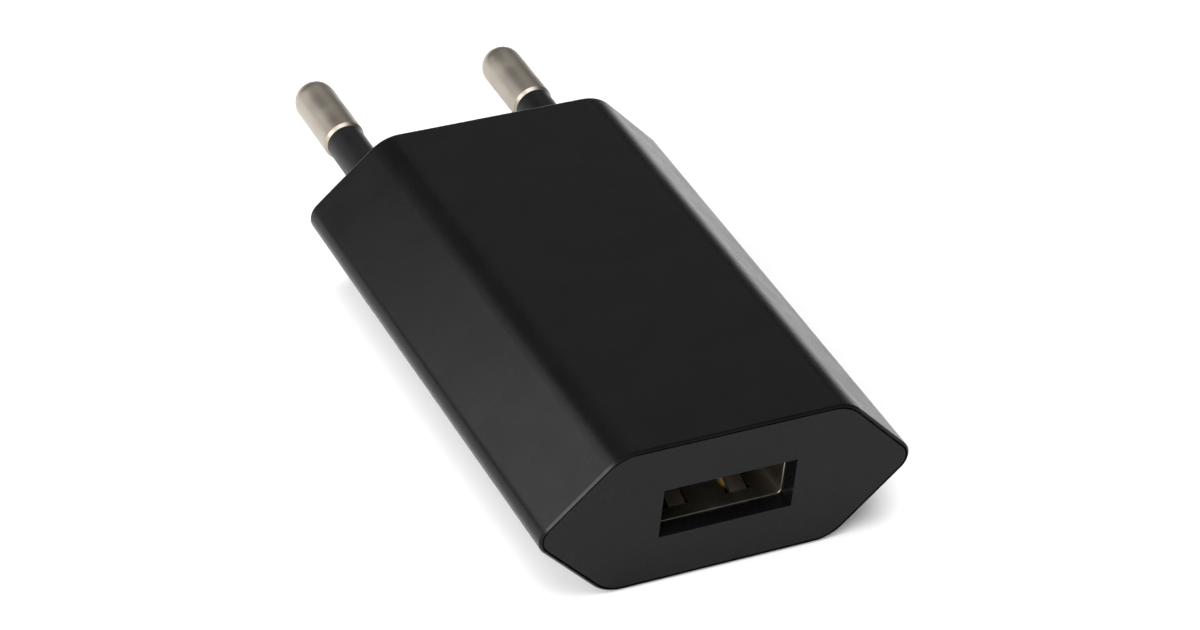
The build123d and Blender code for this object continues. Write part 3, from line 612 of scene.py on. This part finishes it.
class CHARGER_OT_transformer(Operator):
    """Finishes the transformer and winds its coils and tape"""

    bl_idname = "charger.transformer"
    bl_label = "Transformer"

    def execute(self, context):
        sizes = context.scene.charger_coils
        # Sintered ferrite: a dry dark grey with a fine ground grain.
        ferrite = steady_finish(
            "sintered_ferrite",
            ("#2C2C2F", "#3B3B3F"),
            0.3 * MM,
            (0.6, 0.8),
            {"IOR": 1.8},
            (0.1 * MM, 0.004 * MM),
        )
        dress(["transformer_core_front", "transformer_core_rear", "choke_core"], ferrite)
        soften(["transformer_core_front", "transformer_core_rear"], 0.12 * MM)
        # Moulded phenolic: brown-black, half matt.
        phenolic = steady_finish(
            "moulded_phenolic",
            ("#1D1815", "#26201B"),
            1 * MM,
            (0.4, 0.52),
            {"IOR": 1.6},
            (0.15 * MM, 0.002 * MM),
        )
        dress(["transformer_bobbin"], phenolic)

        wire = enamelled_copper()
        for name, diameter in (("primary", sizes.primary_wire), ("secondary", sizes.secondary_wire)):
            low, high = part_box(f"{name}_winding")
            middle, half = (low + high) / 2, (high - low) / 2 - Vector((1, 1, 1)) * diameter / 2
            turns = int(2 * half.y / (diameter * WINDING_PITCH))
            corner = 1.0 * MM if name == "secondary" else 0.6 * MM
            points = [
                (middle.x + a, middle.y - half.y + 2 * half.y * share, middle.z + b)
                for a, b, share in rounded_turns(half.x, half.z, corner, turns)
            ]
            wire_piece(f"{name}_coil", [points], diameter, wire, [f"{name}_winding"])

        # Polyester film tape: a glossy clear yellow, wound so that its end shows as a step.
        film = steady_finish(
            "yellow_polyester_tape",
            ("#D9A81C", "#E2B52B"),
            2 * MM,
            (0.2, 0.3),
            {"IOR": 1.6, "Coat Weight": 0.3},
            (0.6 * MM, 0.01 * MM),
        )
        low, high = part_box("core_tape")
        middle, half = (low + high) / 2, (high - low) / 2
        build_up = 0.2 * MM
        layer = build_up / sizes.tape_turns
        wound = sizes.tape_turns - 0.25  # the end lies a quarter turn short, and shows
        tape = bmesh.new()
        rings = []
        for a, b, _ in rounded_turns(half.x - build_up, half.y - build_up, 0.1 * MM, wound, layer):
            out = Vector((a, b)).normalized() * layer * 0.9
            ring = [(a + x, b + y, z) for x, y in ((0, 0), out) for z in (-half.z, half.z)]
            rings.append([tape.verts.new(Vector(co) + middle) for co in ring])
        for start, end in zip(rings, rings[1:]):
            for one, two in ((0, 1), (1, 3), (3, 2), (2, 0)):
                tape.faces.new((start[one], start[two], end[two], end[one]))
        for cap in (rings[0], rings[-1]):
            tape.faces.new((cap[0], cap[1], cap[3], cap[2]))
        mesh_piece("core_tape_turns", tape, [film], ["core_tape"])
        return {"FINISHED"}


def enamelled_copper():
    """Magnet wire: orange copper under a clear glossy enamel, as one finish for every coil."""
    known = bpy.data.materials.get("enamelled_copper_wire")
    return known or steady_finish(
        "enamelled_copper_wire",
        ("#B5622F", "#C9763C"),
        0.8 * MM,
        (0.22, 0.34),
        {"Metallic": 1.0, "Coat Weight": 0.5, "Coat Roughness": 0.1},
    )


class CHARGER_OT_choke(Operator):
    """Winds the choke's coil in three layers"""

    bl_idname = "charger.choke"
    bl_label = "Choke"

    def execute(self, context):
        diameter = context.scene.charger_coils.choke_wire
        low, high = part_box("choke_winding")
        middle = (low + high) / 2
        reach = (high.x - low.x) / 2 - diameter / 2
        height = high.z - low.z - diameter
        turns = int(height / (diameter * WINDING_PITCH))
        layers = 3
        points = []
        for layer in range(layers):
            radius = reach - (layers - 1 - layer) * diameter
            for a, b, share in rounded_turns(radius, radius, radius, turns):
                # Every other layer runs back down.
                level = share if layer % 2 == 0 else 1 - share
                points.append((middle.x + a, middle.y + b, low.z + diameter / 2 + height * level))
        wire = enamelled_copper()
        wire_piece("choke_coil", [points], diameter, wire, ["choke_winding"])
        return {"FINISHED"}


class CHARGER_OT_capacitors(Operator):
    """Builds the two electrolytic capacitors and the safety capacitor's coated disc"""

    bl_idname = "charger.capacitors"
    bl_label = "Capacitors"

    def execute(self, context):
        # Shrunk PVC film: smooth, dark blue, with a pale stripe along the negative side.
        film = steady_finish(
            "shrunk_pvc_film",
            ("#10192B", "#152036"),
            2 * MM,
            (0.22, 0.34),
            {"IOR": 1.53},
            (1 * MM, 0.01 * MM),
        )

        def negative_side(tree):
            """1 where the skin faces within 20 degrees of the stripe's middle."""
            facing = add_node(tree, "ShaderNodeNewGeometry").outputs["Normal"]
            side = add_node(tree, "ShaderNodeVectorMath", operation="DOT_PRODUCT")
            tree.links.new(facing, side.inputs[0])
            side.inputs[1].default_value = (-0.8, 0.0, 0.6)
            near = add_node(tree, "ShaderNodeMath", operation="GREATER_THAN")
            tree.links.new(side.outputs["Value"], near.inputs[0])
            near.inputs[1].default_value = 0.94
            return near.outputs["Value"]

        marked(film, negative_side, "#A9B1BC")
        # Deep-drawn aluminium: pale and satin, scored with a cross that lets a hot can vent.
        drawn = steady_finish(
            "drawn_aluminium",
            ("#C9CBCD", "#D6D8DA"),
            1 * MM,
            (0.28, 0.4),
            {"Metallic": 1.0},
            (0.1 * MM, 0.001 * MM),
        )
        vent_depth = 0.1 * MM
        for name in ("input_capacitor", "output_capacitor"):
            low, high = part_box(f"{name}_can")
            radius, long = (high.x - low.x) / 2 / MM, (high.y - low.y) / MM
            middle = ((low.x + high.x) / 2, low.y, (low.z + high.z) / 2)
            # (radius, distance from the bung's end) of the sleeve in millimetres, with its crimp
            skin = (
                (radius - 0.75, 0.12),
                (radius - 0.6, 0.04),
                (radius - 0.28, 0.0),
                (radius - 0.06, 0.14),
                (radius, 0.4),
                (radius, 0.8),
                (radius - 0.1, 0.95),
                (radius - 0.2, 1.15),
                (radius - 0.1, 1.35),
                (radius, 1.5),
                (radius, long - 0.4),
                (radius - 0.07, long - 0.17),
                (radius - 0.25, long - 0.04),
                (radius - 0.55, long),
                (radius - 0.85, long - 0.03),
                (radius - 0.9, long - 0.12),
            )
            can = bmesh.new()
            steps = 48
            turned(can, [(r * MM, y * MM) for r, y in skin], middle, "Y", steps)
            top = long - 0.1
            dish = top - 0.02
            rings = [(radius - 0.8, top), (radius * 0.72, top)]
            rings += [(radius * share, dish) for share in (0.7, 0.5, 0.3, 0.12)] + [(0.0, dish)]
            discs = turned(can, [(r * MM, y * MM) for r, y in rings], middle, "Y", steps, 1)
            for ring in discs[3:6]:
                for i in range(0, steps, steps // 4):
                    ring[i].co.y -= vent_depth
            mesh_piece(f"{name}_sleeved_can", can, [film, drawn], [f"{name}_can"], 50)
        # Moulded rubber: a dry near-black.
        rubber = steady_finish(
            "moulded_rubber_bung",
            ("#151515", "#1C1C1C"),
            0.8 * MM,
            (0.6, 0.75),
            {"IOR": 1.5},
            (0.2 * MM, 0.004 * MM),
        )
        dress(["input_capacitor_bung", "output_capacitor_bung"], rubber)

        # Dipped epoxy: thick glossy blue, uneven where it has run down the leads.
        dip = steady_finish(
            "dipped_blue_epoxy",
            ("#1B4FA8", "#2459B5"),
            1.5 * MM,
            (0.14, 0.24),
            {"IOR": 1.55, "Coat Weight": 0.4},
            (0.7 * MM, 0.03 * MM),
        )
        low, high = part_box("y_capacitor")
        middle, half = (low + high) / 2, (high - low) / 2
        disc = bmesh.new()
        edge = half.y
        profile = [(0.0, -edge), (half.x * 0.45, -edge * 0.97), (half.x * 0.75, -edge * 0.84)]
        profile += [(half.x * 0.9, -edge * 0.62), (half.x * 0.98, -edge * 0.3), (half.x, 0.0)]
        profile += [(r, -y) for r, y in reversed(profile[:-1])]
        turned(disc, profile, middle, "Y", 48)
        # (radius, height over the disc's lowest point) of the epoxy on each lead, in millimetres
        drip = [(0.0, 1.9), (0.8, 1.7), (0.75, 0.9), (0.55, 0.3), (0.38, -0.1), (0.0, -0.15)]
        for x in {round((a.x + b.x) / 2, 6) for a, b in loose_boxes("y_capacitor_leads")}:
            turned(disc, [(r * MM, h * MM) for r, h in drip], (x, middle.y, low.z), "Z", 20)
        mesh_piece("y_capacitor_disc", disc, [dip], ["y_capacitor"], 60)
        return {"FINISHED"}


class CHARGER_OT_fusible_resistor(Operator):
    """Builds the fusible resistor's coated body with its colour bands"""

    bl_idname = "charger.fusible_resistor"
    bl_label = "Fusible resistor"

    def execute(self, context):
        low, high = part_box("fusible_resistor")
        middle = (low + high) / 2
        half, radius = (high.x - low.x) / 2, (high.z - low.z) / 2
        # Flameproof lacquer over a wound ceramic rod: matt grey-green, with painted bands.
        coat = steady_finish(
            "flameproof_lacquer",
            ("#6F8C80", "#7B988B"),
            1 * MM,
            (0.5, 0.62),
            {"IOR": 1.55},
            (0.25 * MM, 0.012 * MM),
        )
        width = 0.7 * MM
        for spot, colour in ((-2.9, "#7A3B14"), (-1.5, "#151515"), (-0.1, "#C79A2E"), (2.3, "#2A2F8C")):
            start = middle.x + spot * MM

            def band(tree, start=start):
                """1 within half a band's width of its middle."""
                place = add_node(tree, "ShaderNodeTexCoord").outputs["Object"]
                along = add_node(tree, "ShaderNodeSeparateXYZ", links={"Vector": place}).outputs["X"]
                inside = add_node(tree, "ShaderNodeMath", operation="COMPARE")
                tree.links.new(along, inside.inputs[0])
                inside.inputs[1].default_value = start
                inside.inputs[2].default_value = width / 2
                return inside.outputs["Value"]

            marked(coat, band, colour)
        # (share of the radius, share of the half length) of a dog-bone end
        shares = ((0.0, 1.0), (0.45, 0.99), (0.8, 0.95), (0.97, 0.87), (1.0, 0.76), (0.98, 0.62), (0.9, 0.5))
        profile = [(radius * r, half * x) for r, x in shares]
        profile = [(r, -x) for r, x in profile] + [(radius * 0.88, 0.0)] + profile[::-1]
        body = bmesh.new()
        turned(body, profile, middle, "X", 40)
        mesh_piece("fusible_resistor_body", body, [coat], ["fusible_resistor"], 60)
        return {"FINISHED"}


class CHARGER_OT_chips(Operator):
    """Builds the moulded chips and the small ceramic parts, and finishes every lead"""

    bl_idname = "charger.chips"
    bl_label = "Chips and leads"

    def execute(self, context):
        # Moulded epoxy: matt black, with draft on its sides and a shallow dimple in the top.
        epoxy = steady_finish(
            "moulded_black_epoxy",
            ("#171718", "#1E1E1F"),
            0.6 * MM,
            (0.5, 0.62),
            {"IOR": 1.6},
            (0.08 * MM, 0.002 * MM),
        )
        for name, up in (("controller_chip", -1), ("bridge_rectifier", 1), ("output_diode", 1)):
            low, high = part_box(name)
            middle, half = (low + high) / 2, (high - low) / 2
            draft = 0.12 * half.z
            body = bmesh.new()
            rings = []
            for z, inset in ((-1.0, 2.2), (-0.9, 1.0), (0.0, 0.0), (0.9, 1.0), (1.0, 2.2)):
                x, y = half.x - inset * draft, half.y - inset * draft
                corners = ((x, y), (-x, y), (-x, -y), (x, -y))
                level = up * z * half.z
                rings.append([body.verts.new(middle + Vector((a, b, level))) for a, b in corners])
            for start, end in zip(rings, rings[1:]):
                for i in range(4):
                    body.faces.new((start[i - 1], start[i], end[i], end[i - 1]))
            body.faces.new(rings[0])
            lid = body.faces.new(rings[-1])
            for share in (0.45, 0.2):
                bmesh.ops.inset_individual(body, faces=[lid], thickness=min(half.x, half.y) * share)
            bmesh.ops.translate(body, vec=(0, 0, -up * 0.08 * MM), verts=lid.verts)
            edges = [e for e in body.edges if abs(e.verts[0].co.z - e.verts[1].co.z) > 0.1 * half.z]
            bmesh.ops.bevel(body, geom=edges, offset=0.1 * MM, segments=2, affect="EDGES")
            mesh_piece(f"{name}_body", body, [epoxy], [name], 20)

        # Tinned copper and tinned terminals: pale, bright and soft.
        tin = steady_finish(
            "tinned_copper_lead",
            ("#BFC0C0", "#CCCDCD"),
            1 * MM,
            (0.25, 0.38),
            {"Metallic": 1.0},
            (0.1 * MM, 0.001 * MM),
        )
        leads = [name for name in nodes if name.endswith(("_leads", "_legs", "_caps", "_pins"))]
        dress(leads, tin)

        # Fired ceramic: tan for capacitors, and black glass on white for resistors.
        for name, tones, rough in (
            ("smd_capacitors", ("#8E7355", "#9C8163"), (0.35, 0.5)),
            ("smd_resistors", ("#1B1B1D", "#232326"), (0.15, 0.28)),
        ):
            bump = (0.1 * MM, 0.002 * MM)
            fired = steady_finish(f"fired_{name}", tones, 0.5 * MM, rough, {"IOR": 1.7}, bump)
            bodies, ends = bmesh.new(), bmesh.new()
            for low, high in loose_boxes(name):
                cap = 0.2 * (high.x - low.x)
                thin = Vector((cap * 0.5, 0.03 * MM, 0.03 * MM))
                block(bodies, low + thin, high - thin, 0.04 * MM)
                block(ends, low, (low.x + cap, high.y, high.z), 0.05 * MM)
                block(ends, (high.x - cap, low.y, low.z), high, 0.05 * MM)
            mesh_piece(f"{name}_bodies", bodies, [fired], [name])
            mesh_piece(f"{name}_ends", ends, [tin])
        return {"FINISHED"}


class CHARGER_PT_panel(Panel):
    """Lists the charger's steps"""

    bl_idname = "CHARGER_PT_panel"
    bl_label = "USB wall charger"
    bl_space_type = "VIEW_3D"
    bl_region_type = "UI"
    bl_category = "Charger"

    def draw(self, context):
        for name in SETTINGS:
            group = getattr(context.scene, name)
            for setting in group.__annotations__:
                self.layout.prop(group, setting)
        for step in STEPS:
            self.layout.operator(step.bl_idname)


STEPS = [
    CHARGER_OT_stage,
    CHARGER_OT_casing,
    CHARGER_OT_mains_pins,
    CHARGER_OT_usb_socket,
    CHARGER_OT_circuit_board,
    CHARGER_OT_transformer,
    CHARGER_OT_choke,
    CHARGER_OT_capacitors,
    CHARGER_OT_fusible_resistor,
    CHARGER_OT_chips,
]
SETTINGS = {
    "charger_casing": CasingLook,
    "charger_pins": PinLook,
    "charger_coils": CoilSizes,
    "charger_studio": StudioLook,
}
CLASSES = [*SETTINGS.values(), *STEPS, CHARGER_PT_panel]


def register():
    for cls in CLASSES:
        bpy.utils.register_class(cls)
    for name, cls in SETTINGS.items():
        setattr(bpy.types.Scene, name, PointerProperty(type=cls))


def unregister():
    for name in SETTINGS:
        delattr(bpy.types.Scene, name)
    for cls in reversed(CLASSES):
        bpy.utils.unregister_class(cls)


def main():
    """Runs every step in order."""
    register()
    for step in STEPS:
        family, name = step.bl_idname.split(".")
        getattr(getattr(bpy.ops, family), name)()


if __name__ == "__main__":
    main()
